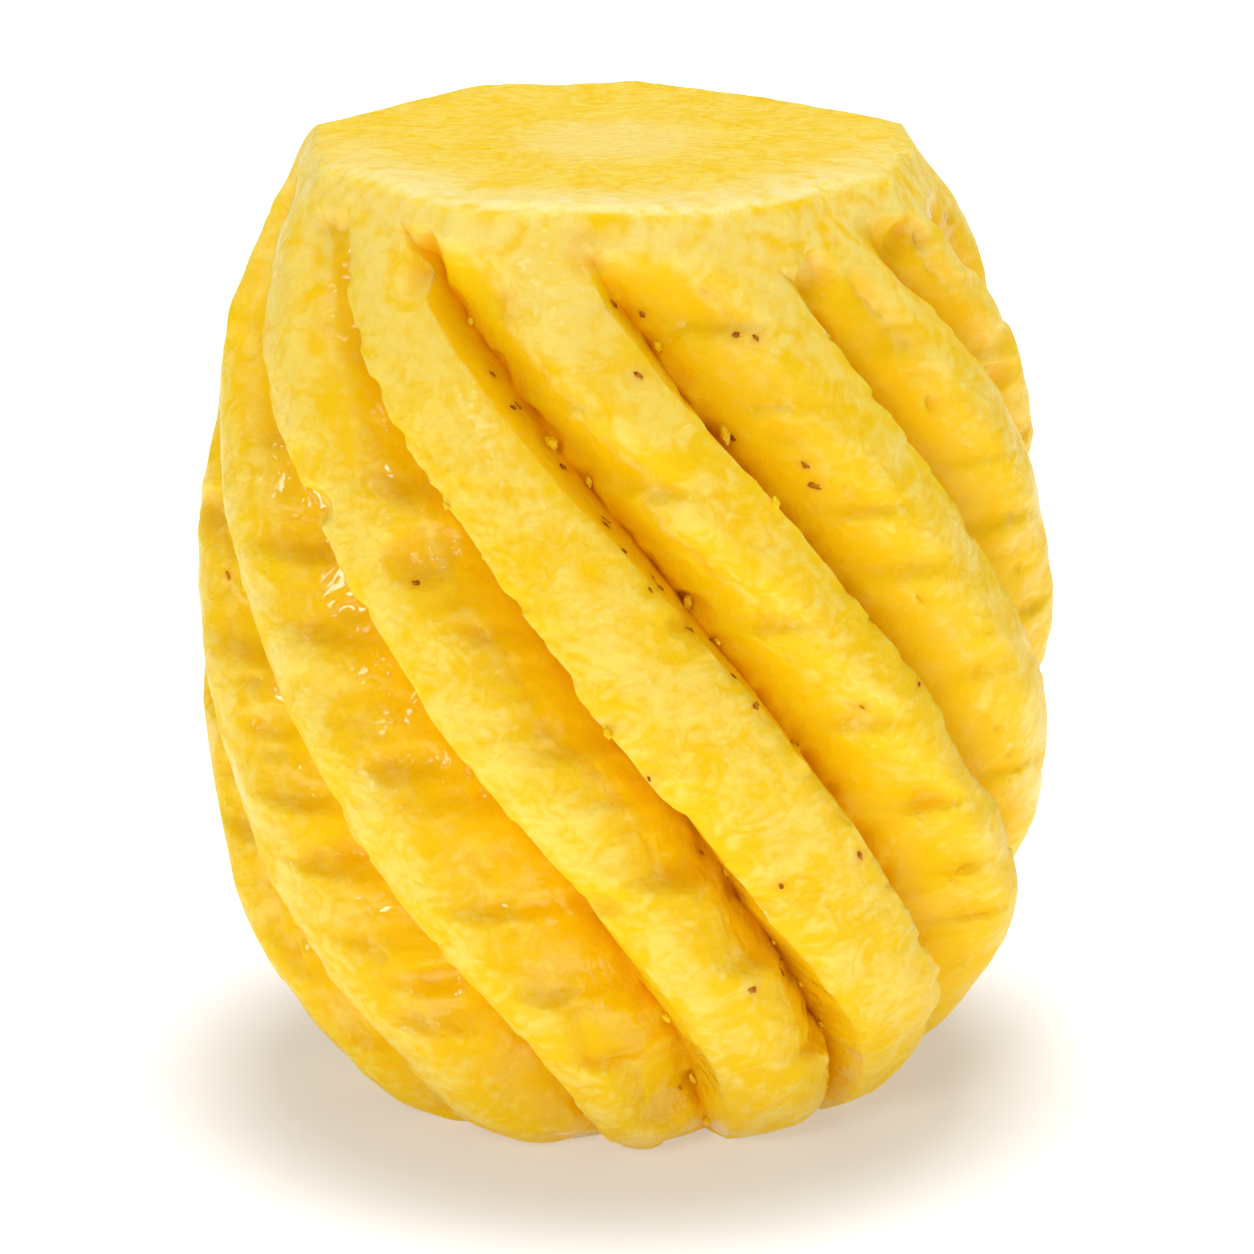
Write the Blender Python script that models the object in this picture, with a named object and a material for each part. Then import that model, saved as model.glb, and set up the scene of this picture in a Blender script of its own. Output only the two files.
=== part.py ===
import bpy
import bmesh
from math import atan2, cos, hypot, pi, radians, sin
from random import Random

# A peeled pineapple that stands on its cut base. Its eyes are cut away in spiral V grooves.
# Lengths are in metres and angles in degrees. Angle 0 is the front, and angles grow to the right.
# A level is a share of the height, 0 at the base and 1 at the top cut.

NAME = "peeled_pineapple"
HEIGHT = 0.1174

# Radius of the fruit over its ridges, from the base to the top cut.
BARREL = (
    (0.00, 0.0312),
    (0.03, 0.0370),
    (0.09, 0.0425),
    (0.20, 0.0489),
    (0.35, 0.0515),
    (0.50, 0.0525),
    (0.65, 0.0508),
    (0.80, 0.0474),
    (0.91, 0.0420),
    (1.00, 0.0352),
)

# The top cut is a rough polygon. Each corner has an angle and a radius.
RIM_CORNERS = (
    (-66, 0.0362),
    (-27, 0.0388),
    (10, 0.0378),
    (31, 0.0373),
    (60, 0.0365),
    (84, 0.0354),
    (108, 0.0366),
    (145, 0.0322),
    (175, 0.0352),
    (208, 0.0374),
    (254, 0.0370),
    (274, 0.0352),
)
SHOULDER_LEVEL = 0.88

# The fruit bends a little to the left on its way up, mostly near the top: how far the top cut's middle
# is off, along X, and the power of the level that it grows with.
TOP_MIDDLE = -0.0020
TOP_MIDDLE_POWER = 3

# A lip can sway from its plain spiral: by these degrees at SWAY_LEVELS, in a straight run between them.
SWAY_LEVELS = (0.1, 0.3, 0.5, 0.7, 0.9)
NO_SWAY = (0.0, 0.0, 0.0, 0.0, 0.0)

# Each groove has its lips' angles at mid height, its turn over the whole height and the bend of that
# turn. "high" and "low" say where its deepest line runs at the top and at the base, from 0 at the left
# lip to 1 at the right lip. "top" is the level where the groove starts, under the top cut.
GROOVES = (
    {"left": -67, "right": -52, "turn": 113, "bend": 16, "high": 0.78, "low": 0.76, "depth": 0.0088,
     "top": 0.96, "left_sway": NO_SWAY, "right_sway": NO_SWAY},
    {"left": -38, "right": -23, "turn": 112, "bend": 36, "high": 0.80, "low": 0.80, "depth": 0.0090,
     "top": 0.97, "left_sway": NO_SWAY, "right_sway": (0.0, 0.0, 0.0, -0.5, -3.0)},
    {"left": -8.5, "right": 0.5, "turn": 107, "bend": 2, "high": 0.88, "low": 0.88, "depth": 0.0086,
     "top": 0.97, "left_sway": (0.0, 0.0, 0.0, -1.0, -3.0), "right_sway": (-1.5, -3.0, -0.5, -1.2, -6.0)},
    {"left": 19, "right": 31, "turn": 111, "bend": 24, "high": 0.03, "low": 0.26, "depth": 0.0080,
     "top": 0.975, "left_sway": (0.0, 0.0, 2.0, 3.2, 1.0), "right_sway": (0.0, 0.0, 0.5, 0.8, -1.5)},
    {"left": 42.5, "right": 55, "turn": 109, "bend": -28, "high": 0.04, "low": 0.22, "depth": 0.0082,
     "top": 0.965, "left_sway": (0.0, 0.0, 1.0, 1.8, -2.0), "right_sway": (0.0, 0.0, 0.5, 1.0, 0.0)},
    {"left": 71, "right": 84, "turn": 111, "bend": -16, "high": 0.12, "low": 0.26, "depth": 0.0084,
     "top": 0.94, "left_sway": (0.0, 0.0, 0.3, 1.2, 3.6), "right_sway": (0.0, 0.0, 0.0, 0.0, 0.5)},
    {"left": 99, "right": 111, "turn": 108, "bend": 4, "high": 0.40, "low": 0.46, "depth": 0.0080,
     "top": 0.97, "left_sway": NO_SWAY, "right_sway": NO_SWAY},
    {"left": 126, "right": 139, "turn": 112, "bend": 18, "high": 0.56, "low": 0.50, "depth": 0.0088,
     "top": 0.96, "left_sway": NO_SWAY, "right_sway": NO_SWAY},
    {"left": 155, "right": 167, "turn": 110, "bend": -8, "high": 0.34, "low": 0.52, "depth": 0.0082,
     "top": 0.975, "left_sway": NO_SWAY, "right_sway": NO_SWAY},
    {"left": 182, "right": 196, "turn": 113, "bend": 10, "high": 0.62, "low": 0.44, "depth": 0.0090,
     "top": 0.965, "left_sway": NO_SWAY, "right_sway": NO_SWAY},
    {"left": 211, "right": 223, "turn": 109, "bend": 20, "high": 0.46, "low": 0.58, "depth": 0.0080,
     "top": 0.96, "left_sway": NO_SWAY, "right_sway": NO_SWAY},
    {"left": 238, "right": 252, "turn": 112, "bend": -4, "high": 0.66, "low": 0.54, "depth": 0.0086,
     "top": 0.97, "left_sway": NO_SWAY, "right_sway": NO_SWAY},
    {"left": 266, "right": 279, "turn": 111, "bend": 12, "high": 0.70, "low": 0.62, "depth": 0.0084,
     "top": 0.965, "left_sway": NO_SWAY, "right_sway": NO_SWAY},
)

# The deepest line stays between these shares of the groove's width.
SHARE_LIMITS = (0.02, 0.98)

# A groove reaches its depth over TOP_FADE, and narrows to BASE_SHARE of its size over BASE_FADE.
TOP_FADE = 0.14
BASE_FADE = 0.16
BASE_SHARE = 0.55

# The knife leaves a steep wall with a crisp lip on one side of a groove, and a broad wall with a soft
# lip on the other. The flesh drops off towards a lip by its drop, which is full at FULL_DEPTH. "hollow"
# is how far a wall sags under a straight line, and CROWN how far the ridges stand out in the middle.
CRISP_DROP = 0.0006
SOFT_DROP = 0.0020
DROP_FULL_DEPTH = 0.0040
CRISP_HOLLOW = 0.30
SOFT_HOLLOW = 0.12
CROWN = 0.0002

# Each groove is cut in short strokes, which leave small steps in its lips and walls. A stroke moves
# the lips by up to LIP_WANDER degrees, and the depth and the deepest line by up to these shares.
STROKE_SEED = 41
STROKE_LENGTH = (0.07, 0.13)
STROKE_BLEND = 0.025
LIP_WANDER = 1.0
DEPTH_WANDER = 0.09
DEEPEST_WANDER = 0.06

# Pits and scoops: the angle and level of the middle, half its width, half its height, and its depth.
# A dent is full inside DENT_FLOOR of its half sizes, and ends one half size further out.
DENTS = (
    (-28.8, 0.669, 0.0032, 0.0027, 0.0020),
    (35, 0.924, 0.0028, 0.0030, 0.0022),
    (61.5, 0.931, 0.0026, 0.0026, 0.0015),
    (-33, 0.942, 0.0026, 0.0032, 0.0020),
    (-5, 0.962, 0.0026, 0.0028, 0.0013),
    (8.7, 0.621, 0.0026, 0.0020, 0.0018),
    (-31.5, 0.453, 0.0032, 0.0020, 0.0011),
    (-30.9, 0.208, 0.0034, 0.0020, 0.0020),
    (-43.8, 0.337, 0.0032, 0.0020, 0.0012),
    (-58.2, 0.447, 0.0032, 0.0020, 0.0011),
    (81, 0.763, 0.0030, 0.0022, 0.0018),
    (118, 0.650, 0.0036, 0.0024, 0.0022),
    (152, 0.300, 0.0034, 0.0022, 0.0020),
    (200, 0.800, 0.0034, 0.0024, 0.0026),
    (236, 0.480, 0.0038, 0.0022, 0.0022),
    (276, 0.620, 0.0034, 0.0022, 0.0020),
)
DENT_FLOOR = 0.5

# The turned blank that the fruit is carved from: its rows, the steps across each groove and each ridge,
# the fewest steps in a wall, and where the ring in its flat ends lies.
BLANK_RADIUS = 1.0
LEVEL_ROWS = 48
GROOVE_STEPS = 5
WALL_STEPS = 2
LAND_STEPS = 3
CAP_SHARE = 0.55
MERGE_DISTANCE = 1e-5
SHARP_ANGLE = 50

FLESH_COLOUR = (0.93, 0.62, 0.06, 1.0)
FLESH_ROUGHNESS = 0.38


def clear_scene():
    for item in list(bpy.data.objects):
        bpy.data.objects.remove(item, do_unlink=True)


def smooth_step(value):
    value = min(max(value, 0.0), 1.0)
    return value * value * (3 - 2 * value)


def barrel_radius(level):
    """Radius on a smooth curve through the barrel's points."""
    last = len(BARREL) - 1
    index = 0
    while index < last - 1 and level > BARREL[index + 1][0]:
        index += 1
    before, start, end, after = (BARREL[min(max(index + step, 0), last)] for step in (-1, 0, 1, 2))
    span = end[0] - start[0]
    slope_in = (end[1] - before[1]) / (end[0] - before[0]) * span
    slope_out = (after[1] - start[1]) / (after[0] - start[0]) * span
    place = (level - start[0]) / span
    square = place * place
    cube = square * place
    return (
        (2 * cube - 3 * square + 1) * start[1]
        + (cube - 2 * square + place) * slope_in
        + (3 * square - 2 * cube) * end[1]
        + (cube - square) * slope_out
    )


def rim_radius(angle):
    """Radius of the top cut, along the straight edges between its corners."""
    first = RIM_CORNERS[0][0]
    angle = first + (angle - first) % 360
    corners = RIM_CORNERS + ((first + 360, RIM_CORNERS[0][1]),)
    for start, end in zip(corners, corners[1:]):
        if angle <= end[0]:
            break
    turned = radians(angle - start[0])
    whole = radians(end[0] - start[0])
    edge = start[1] * sin(turned) + end[1] * sin(whole - turned)
    return start[1] * end[1] * sin(whole) / edge


def surface_radius(angle, level):
    """Radius of the fruit before the grooves are cut."""
    shoulder = (level - SHOULDER_LEVEL) / (1 - SHOULDER_LEVEL)
    to_rim = (rim_radius(angle) - BARREL[-1][1]) * smooth_step(shoulder)
    return barrel_radius(level) + to_rim


def cut_strokes():
    """For each groove, the strokes of the knife with their start and their small errors."""
    grooves = []
    for index in range(len(GROOVES)):
        chance = Random(STROKE_SEED + index)
        strokes = []
        start = -chance.uniform(*STROKE_LENGTH)
        while start < 1:
            errors = [chance.uniform(-1, 1) for _ in range(4)]
            strokes.append((start, errors))
            start += chance.uniform(*STROKE_LENGTH)
        grooves.append(strokes)
    return grooves


STROKES = cut_strokes()


def stroke_errors(index, level):
    """The errors at a level: one stroke passes into the next over a short step."""
    strokes = STROKES[index]
    errors = strokes[0][1]
    for start, later in strokes[1:]:
        share = smooth_step((level - start) / STROKE_BLEND)
        errors = [old + (new - old) * share for old, new in zip(errors, later)]
    return errors


def sway_at(sway, level):
    """How far a lip is off its spiral at a level, in degrees."""
    level = min(max(level, SWAY_LEVELS[0]), SWAY_LEVELS[-1])
    for low, high, start, end in zip(SWAY_LEVELS, SWAY_LEVELS[1:], sway, sway[1:]):
        if level <= high:
            return start + (end - start) * (level - low) / (high - low)
    return sway[-1]


def groove_at(index, level):
    """Angles of the left lip, the deepest line and the right lip, and the depth, at a level."""
    groove = GROOVES[index]
    rise = level - 0.5
    left_error, right_error, depth_error, deepest_error = stroke_errors(index, level)
    middle = (groove["left"] + groove["right"]) / 2 - groove["turn"] * rise - groove["bend"] * rise * rise
    base_share = 1 - (1 - BASE_SHARE) * smooth_step(1 - level / BASE_FADE)
    half_width = (groove["right"] - groove["left"]) / 2 * base_share
    half_width *= barrel_radius(0.5) / barrel_radius(level)
    left = middle - half_width + left_error * LIP_WANDER + sway_at(groove["left_sway"], level)
    right = middle + half_width + right_error * LIP_WANDER + sway_at(groove["right_sway"], level)
    share = groove["low"] + (groove["high"] - groove["low"]) * smooth_step(level)
    share = min(max(share + deepest_error * DEEPEST_WANDER, SHARE_LIMITS[0]), SHARE_LIMITS[1])
    depth = groove["depth"] * (1 + depth_error * DEPTH_WANDER)
    depth *= smooth_step((groove["top"] - level) / TOP_FADE) ** 0.5
    depth *= base_share
    return left, left + (right - left) * share, right, depth


def dent_depth(angle, level):
    """How far the pits and scoops lower the surface at a point."""
    total = 0.0
    for middle, height, half_width, half_height, depth in DENTS:
        turn = (angle - middle + 180) % 360 - 180
        across = radians(turn) * barrel_radius(height) / half_width
        along = (level - height) * HEIGHT / half_height
        total += depth * smooth_step(1 + DENT_FLOOR - hypot(across, along))
    return total


def has_soft_left(index):
    """Whether the groove's left lip is the soft one: the one further from the deepest line."""
    return GROOVES[index]["high"] + GROOVES[index]["low"] > 1


def lip_drops(index, depth):
    """How far the flesh drops off at the left and the right lip of a groove of a depth."""
    full = smooth_step(depth / DROP_FULL_DEPTH)
    drops = (SOFT_DROP * full, CRISP_DROP * full)
    return drops if has_soft_left(index) else drops[::-1]


def groove_place(index, level, step):
    """Angle and depth of one step across a groove, from its left lip to its right lip."""
    left, deepest, right, depth = groove_at(index, level)
    share = (deepest - left) / (right - left)
    left_steps = min(max(round(GROOVE_STEPS * share), WALL_STEPS), GROOVE_STEPS - WALL_STEPS)
    on_left = step <= left_steps
    if on_left:
        wall = step / left_steps
        angle = left + (deepest - left) * wall
    else:
        wall = (GROOVE_STEPS - step) / (GROOVE_STEPS - left_steps)
        angle = right + (deepest - right) * wall
    hollow = SOFT_HOLLOW if on_left == has_soft_left(index) else CRISP_HOLLOW
    fall = wall * (1 - hollow) + wall * wall * hollow
    drop = lip_drops(index, depth)[0 if on_left else 1]
    return angle, drop + (depth - drop) * fall


def land_place(index, level, step):
    """Angle and depth of one step over the ridge to the right of a groove."""
    following = (index + 1) % len(GROOVES)
    start, depth = groove_at(index, level)[2:]
    end, _, _, following_depth = groove_at(following, level)
    if following == 0:
        end += 360
    share = step / LAND_STEPS
    drop = lip_drops(index, depth)[1] * max(0.0, 1 - 2 * share) ** 2
    drop += lip_drops(following, following_depth)[0] * max(0.0, 2 * share - 1) ** 2
    return start + (end - start) * share, drop - CROWN * (1 - (2 * share - 1) ** 2)


def carved_place(column, level):
    """Angle and radius of a column of the surface at a level."""
    index, step = divmod(column, GROOVE_STEPS + LAND_STEPS)
    if step <= GROOVE_STEPS:
        angle, depth = groove_place(index, level, step)
    else:
        angle, depth = land_place(index, level, step - GROOVE_STEPS)
    return angle, surface_radius(angle, level) - depth - dent_depth(angle, level)


def turn_blank(columns):
    """A turned cylinder with flat ends: a row for each level and a ring in each end."""
    mesh = bmesh.new()
    outline = [(0.0, 0.0), (CAP_SHARE * BLANK_RADIUS, 0.0)]
    outline += [(BLANK_RADIUS, row / LEVEL_ROWS) for row in range(LEVEL_ROWS + 1)]
    outline += [(CAP_SHARE * BLANK_RADIUS, 1.0), (0.0, 1.0)]
    points = [mesh.verts.new((radius, 0.0, level)) for radius, level in outline]
    edges = [mesh.edges.new(pair) for pair in zip(points, points[1:])]
    bmesh.ops.spin(
        mesh,
        geom=points + edges,
        cent=(0, 0, 0),
        axis=(0, 0, 1),
        angle=2 * pi,
        steps=columns,
        use_merge=True,
    )
    bmesh.ops.remove_doubles(mesh, verts=mesh.verts, dist=MERGE_DISTANCE)
    return mesh


def carve(mesh, columns):
    """Move each point of the blank to its place on the fruit."""
    places = {}
    for vertex in mesh.verts:
        level = vertex.co.z
        share = hypot(vertex.co.x, vertex.co.y) / BLANK_RADIUS
        column = round(atan2(vertex.co.y, vertex.co.x) / (2 * pi) * columns) % columns
        key = (column, round(level * LEVEL_ROWS))
        if key not in places:
            places[key] = carved_place(column, level)
        angle, radius = places[key]
        middle = TOP_MIDDLE * level ** TOP_MIDDLE_POWER
        vertex.co.x = middle + radius * share * sin(radians(angle))
        vertex.co.y = -radius * share * cos(radians(angle))
        vertex.co.z = level * HEIGHT


def centre_on_origin(mesh):
    """Put the middle of the fruit's width and depth over the origin."""
    for axis in (0, 1):
        values = [vertex.co[axis] for vertex in mesh.verts]
        middle = (min(values) + max(values)) / 2
        for vertex in mesh.verts:
            vertex.co[axis] -= middle


def flesh_material():
    material = bpy.data.materials.new("flesh")
    material.use_nodes = True
    shader = material.node_tree.nodes["Principled BSDF"]
    shader.inputs["Base Color"].default_value = FLESH_COLOUR
    shader.inputs["Roughness"].default_value = FLESH_ROUGHNESS
    return material


def make_pineapple():
    columns = len(GROOVES) * (GROOVE_STEPS + LAND_STEPS)
    mesh = turn_blank(columns)
    carve(mesh, columns)
    centre_on_origin(mesh)
    bmesh.ops.recalc_face_normals(mesh, faces=mesh.faces)
    data = bpy.data.meshes.new(NAME)
    mesh.to_mesh(data)
    mesh.free()
    data.materials.append(flesh_material())
    data.shade_smooth()
    data.set_sharp_from_angle(angle=radians(SHARP_ANGLE))
    fruit = bpy.data.objects.new(NAME, data)
    bpy.context.scene.collection.objects.link(fruit)
    return fruit


clear_scene()
make_pineapple()
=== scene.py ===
from math import atan2, cos, exp, hypot, pi, radians, sin
from random import Random
import bmesh
import bpy
from mathutils import Matrix, Vector, noise
from mathutils.bvhtree import BVHTree
from mathutils.kdtree import KDTree


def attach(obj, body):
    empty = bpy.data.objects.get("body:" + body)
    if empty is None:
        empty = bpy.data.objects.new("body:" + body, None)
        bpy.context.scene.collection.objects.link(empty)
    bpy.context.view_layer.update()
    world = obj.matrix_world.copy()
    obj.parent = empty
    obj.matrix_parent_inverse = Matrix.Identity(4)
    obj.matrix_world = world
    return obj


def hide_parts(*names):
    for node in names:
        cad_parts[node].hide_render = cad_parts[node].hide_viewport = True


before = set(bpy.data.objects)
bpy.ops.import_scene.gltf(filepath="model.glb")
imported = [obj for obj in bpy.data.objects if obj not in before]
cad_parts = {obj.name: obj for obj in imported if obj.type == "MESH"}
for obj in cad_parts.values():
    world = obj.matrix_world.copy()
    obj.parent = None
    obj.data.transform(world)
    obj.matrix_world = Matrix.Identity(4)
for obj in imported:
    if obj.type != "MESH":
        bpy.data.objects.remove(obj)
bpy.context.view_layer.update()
nodeName = "peeled_pineapple"
scene = bpy.context.scene

# the form, the same as the solid's: metres and degrees, angle 0 in front, level 0 at the base, 1 on top
form = {
    "height": 0.1174,
    "barrel": (
        (0.00, 0.0312), (0.03, 0.0370), (0.09, 0.0425), (0.20, 0.0489), (0.35, 0.0515),
        (0.50, 0.0525), (0.65, 0.0508), (0.80, 0.0474), (0.91, 0.0420), (1.00, 0.0352),
    ),
    "rimCorners": (
        (-66, 0.0362), (-27, 0.0388), (10, 0.0378), (31, 0.0373), (60, 0.0365), (84, 0.0354),
        (108, 0.0366), (145, 0.0322), (175, 0.0352), (208, 0.0374), (254, 0.0370), (274, 0.0352),
    ),
    "shoulderLevel": 0.88,
    "topMiddle": -0.0020,
    "topFade": 0.14,
    "baseFade": 0.16,
    "baseShare": 0.55,
    "wallHollow": 0.30,
    "softWallHollow": 0.12,
    "lipDrop": 0.0006,
    "softLipDrop": 0.0020,
    "lipDropFullDepth": 0.0040,
    "crown": 0.0002,
    "strokeSeed": 41,
    "strokeLength": (0.07, 0.13),
    "strokeBlend": 0.025,
    "lipWander": 1.0,
    "depthWander": 0.09,
    "deepestWander": 0.06,
    "shareLimits": (0.02, 0.98),
}

# how far a lip sways from its plain spiral, in degrees at these levels
swayLevels = (0.1, 0.3, 0.5, 0.7, 0.9)
noSway = (0, 0, 0, 0, 0)

# left lip, right lip, turn, bend, deepest line at the top and at the base, depth, starting level, sways
grooves = (
    (-67, -52, 113, 16, 0.78, 0.76, 0.0088, 0.96, noSway, noSway),
    (-38, -23, 112, 36, 0.80, 0.80, 0.0090, 0.97, noSway, (0, 0, 0, -0.5, -3)),
    (-8.5, 0.5, 107, 2, 0.88, 0.88, 0.0086, 0.97, (0, 0, 0, -1, -3), (-1.5, -3, -0.5, -1.2, -6)),
    (19, 31, 111, 24, 0.03, 0.26, 0.0080, 0.975, (0, 0, 2, 3.2, 1.0), (0, 0, 0.5, 0.8, -1.5)),
    (42.5, 55, 109, -28, 0.04, 0.22, 0.0082, 0.965, (0, 0, 1, 1.8, -2), (0, 0, 0.5, 1, 0)),
    (71, 84, 111, -16, 0.12, 0.26, 0.0084, 0.94, (0, 0, 0.3, 1.2, 3.6), (0, 0, 0, 0, 0.5)),
    (99, 111, 108, 4, 0.40, 0.46, 0.0080, 0.97, noSway, noSway),
    (126, 139, 112, 18, 0.56, 0.50, 0.0088, 0.96, noSway, noSway),
    (155, 167, 110, -8, 0.34, 0.52, 0.0082, 0.975, noSway, noSway),
    (182, 196, 113, 10, 0.62, 0.44, 0.0090, 0.965, noSway, noSway),
    (211, 223, 109, 20, 0.46, 0.58, 0.0080, 0.96, noSway, noSway),
    (238, 252, 112, -4, 0.66, 0.54, 0.0086, 0.97, noSway, noSway),
    (266, 279, 111, 12, 0.70, 0.62, 0.0084, 0.965, noSway, noSway),
)

# angle, level, half width, half height and depth of the larger pits and scoops
dents = (
    (-28.8, 0.669, 0.0032, 0.0027, 0.0020),
    (35, 0.924, 0.0024, 0.0028, 0.0022),
    (61.5, 0.931, 0.0022, 0.0022, 0.0014),
    (-33, 0.942, 0.0017, 0.0032, 0.0022),
    (-5, 0.962, 0.0017, 0.0026, 0.0014),
    (23.7, 0.787, 0.0016, 0.0013, 0.0007),
    (8.7, 0.621, 0.0024, 0.0013, 0.0022),
    (-31.5, 0.453, 0.0032, 0.0015, 0.0011),
    (-30.9, 0.208, 0.0034, 0.0016, 0.0020),
    (-43.8, 0.337, 0.0032, 0.0017, 0.0012),
    (-58.2, 0.447, 0.0032, 0.0016, 0.0011),
    (-46, 0.700, 0.0030, 0.0017, 0.0014),
    (81, 0.763, 0.0030, 0.0019, 0.0018),
    (-3.5, 0.333, 0.0022, 0.0012, 0.0012),
    (16.5, 0.322, 0.0024, 0.0013, 0.0014),
    (118, 0.650, 0.0036, 0.0024, 0.0022),
    (152, 0.300, 0.0034, 0.0020, 0.0020),
    (200, 0.800, 0.0034, 0.0024, 0.0026),
    (236, 0.480, 0.0038, 0.0022, 0.0022),
    (276, 0.620, 0.0034, 0.0020, 0.0020),
)
dentFloor = 0.5

# how fine the visible mesh is
fineness = {
    "rows": 198,
    "grooveSteps": 23,
    "leastWallSteps": 6,
    "landSteps": 13,
    "topRings": 14,
    "topCrowding": 1.6,
    "baseRings": 1,
    "weld": 1e-5,
    "sharpAngle": 62,
}

# ledges that the knife left across the walls of the grooves, in levels and metres
ledges = {
    "seed": 90,
    "levels": (-0.2, 1.2),
    "gap": (0.060, 0.140),
    "drop": (0.0003, 0.0019),
    "proud": 0.45,
    "hollow": 0.55,
    "edge": 0.16,
    "fade": (90, 0.75, 1.6),  # bumps per metre, least height and swing
    "lean": 0.30,
    "ragged": (0.0200, 130),
    "ragFine": (0.0040, 600),
    "lipBite": 3000,  # degrees for each metre of a ledge's height
    "crispShare": 0.45,
    "softLeftShare": 0.75,
    "softRightShare": 0.65,
}

# relief of the flesh: heights in metres, bumps per metre, and the noise above which pores and nicks open
relief = {
    "broad": (0.00055, 55),
    "land": (0.00040, 190),
    "landPore": (0.00070, 300, 0.34),
    "scoop": (0.00045, (60, 60, 110)),
    "fibre": (0.00016, (170, 170, 620)),
    "crinkle": (0.00045, 480),
    "bottom": (0.00130, 420),
    "nick": (0.0022, 420, 0.10),
    "lipWave": (0.26, 340),  # in degrees
    "lipNick": (2.8, 1.9, 0.18),  # times the wave's height and its bumps
    "topFibre": (0.00010, 11, 60),
    "topBroad": (0.00030, 60),
    "topPore": (0.00035, 260, 0.25),
    "rimNick": (0.0016, 300, 0.1),
    "rimRound": (0.0007, 0.00025),
    "wallStart": 5,  # a wall's relief is full a fifth of the way down it
    "openDepth": 0.003,  # a groove has its relief from this depth
    "fullDepth": 0.006,  # and its bitten lips and torn bottom from this one
    "fullDent": 0.0012,
}

# where the relief, the nicks and the rounding begin on the flat ends, as a share of the radius and a span
ends = {"relief": (0.6, 0.4), "nicks": (0.9, 0.1), "round": (0.96, 0.04), "baseRelief": 0.3}

# the grain follows the grooves up the side, and runs outward on the top
grainShape = {"turn": 112, "stretch": 1.25, "topStretch": 0.35, "topBlend": (0.3, 0.5)}

# paler and deeper patches of colour, in bumps per metre, and the width of the bands of painted shade along
# the lips
patches = {"warp": (0.0035, 130), "large": 170, "small": 430, "lipShadeBand": 0.0012, "softLipShadeBand": 0.0028}

# what the material reads at each point, as shares of these kinds of flesh, and of a painted shade that
# darkens the bottoms of grooves and dents
shareNames = ("pale", "amber", "deepShade", "wet", "milk", "stain")

# shares on the ridges: what each starts from, and what adds to it or takes from it
ridgeShades = {
    "upper": (0.78, 0.22),
    "pale": 0.28,
    "paleLeft": 0.26,
    "paleLevel": 0.22,
    "paleUpper": 0.35,
    "paleLarge": 0.9,
    "paleSmall": 0.6,
    # painted light in the middle of a ridge, and painted shade near its lips, where the rounded edge turns
    # from the light; at the lips this shade is amber, with a painted glow of light through the thin lip
    "paintedLightMidRidge": 0.12,
    "paintedShadeAtLip": 0.85,
    "amberLarge": 0.7,
    "amberSmall": 0.6,
    "amberFloor": 0.22,
    "amberShadeSoftLip": 0.30,
    "amberShadeLeftLip": 0.55,
    "amberShadeRightLip": 0.70,
    # painted shade in dents and pits
    "amberShadeInDent": 0.6,
    "deepShadeInDent": 0.2,
    "wet": 0.12,
    "wetLarge": 0.4,
    "wetDent": 0.2,
    "milk": 0.06,
    "milkUpper": 0.40,
    "milkPatch": 0.5,
}

# shares on the walls, where proud is how far a ledge stands out, in metres; ledges that stand proud are
# painted paler as painted light
wallShades = {
    "softSpread": 3.2,
    "crispSpread": 6.0,
    "proudFloor": 0.00012,
    "pale": 0.05,
    "paintedLightOnLedge": 1300,
    "paleSmall": 0.5,
    "amberLeast": 0.30,
    "amber": 0.92,
    "amberSmall": 0.4,
    "amberLossOnLitLedge": 900,
    "deepShade": (0.62, 0.38),
    "wet": 0.05,
    "wetLarge": 0.2,
    "wetCrinkled": 0.9,
    "crinkled": 0.6,
    "crinkledLarge": 2.2,
    "crinkledMiddle": (4, 2.5),
    "crinkledElsewhere": 0.10,
}

# shares on the top cut
topShades = {
    "rim": (0.35, 0.55),
    "front": (0.62, 0.34),
    "sheenFrontTurn": 0.2,
    "core": (0.20, 0.20),
    "pale": 0.55,
    "paleStreak": 0.5,
    "paleLarge": 0.5,
    "paleSmall": 0.4,
    # a painted reflection that makes the front of the top paler and milkier near the rim
    "paleSheenAtFront": 0.5,
    "amberStreak": 0.6,
    "amberSmall": 0.4,
    "amberFloor": 0.10,
    "wet": 0.12,
    "milkCore": 0.40,
    "milkSheenAtFront": 0.8,
}

camera = {
    "place": (0.0, -0.594, 0.248),
    "aim": (0.0, 0.0, 0.0561),
    "lens": 145.4,
    "sensor": 36.0,
    "framePixels": 1254,
}


def clamp(value):
    return min(max(value, 0.0), 1.0)


def smoothStep(value):
    value = clamp(value)
    return value * value * (3 - 2 * value)


# smooth share of the way that a value has come past a start
def ramp(value, start, span):
    return smoothStep((value - start) / span)


# radius on a smooth curve through the barrel's points
def barrelRadius(level):
    barrel = form["barrel"]
    last = len(barrel) - 1
    index = 0
    while index < last - 1 and level > barrel[index + 1][0]:
        index += 1
    before, start, end, after = (barrel[min(max(index + step, 0), last)] for step in (-1, 0, 1, 2))
    span = end[0] - start[0]
    slopeIn = (end[1] - before[1]) / (end[0] - before[0]) * span
    slopeOut = (after[1] - start[1]) / (after[0] - start[0]) * span
    place = (level - start[0]) / span
    square = place * place
    cube = square * place
    radius = (2 * cube - 3 * square + 1) * start[1] + (cube - 2 * square + place) * slopeIn
    return radius + (3 * square - 2 * cube) * end[1] + (cube - square) * slopeOut


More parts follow.
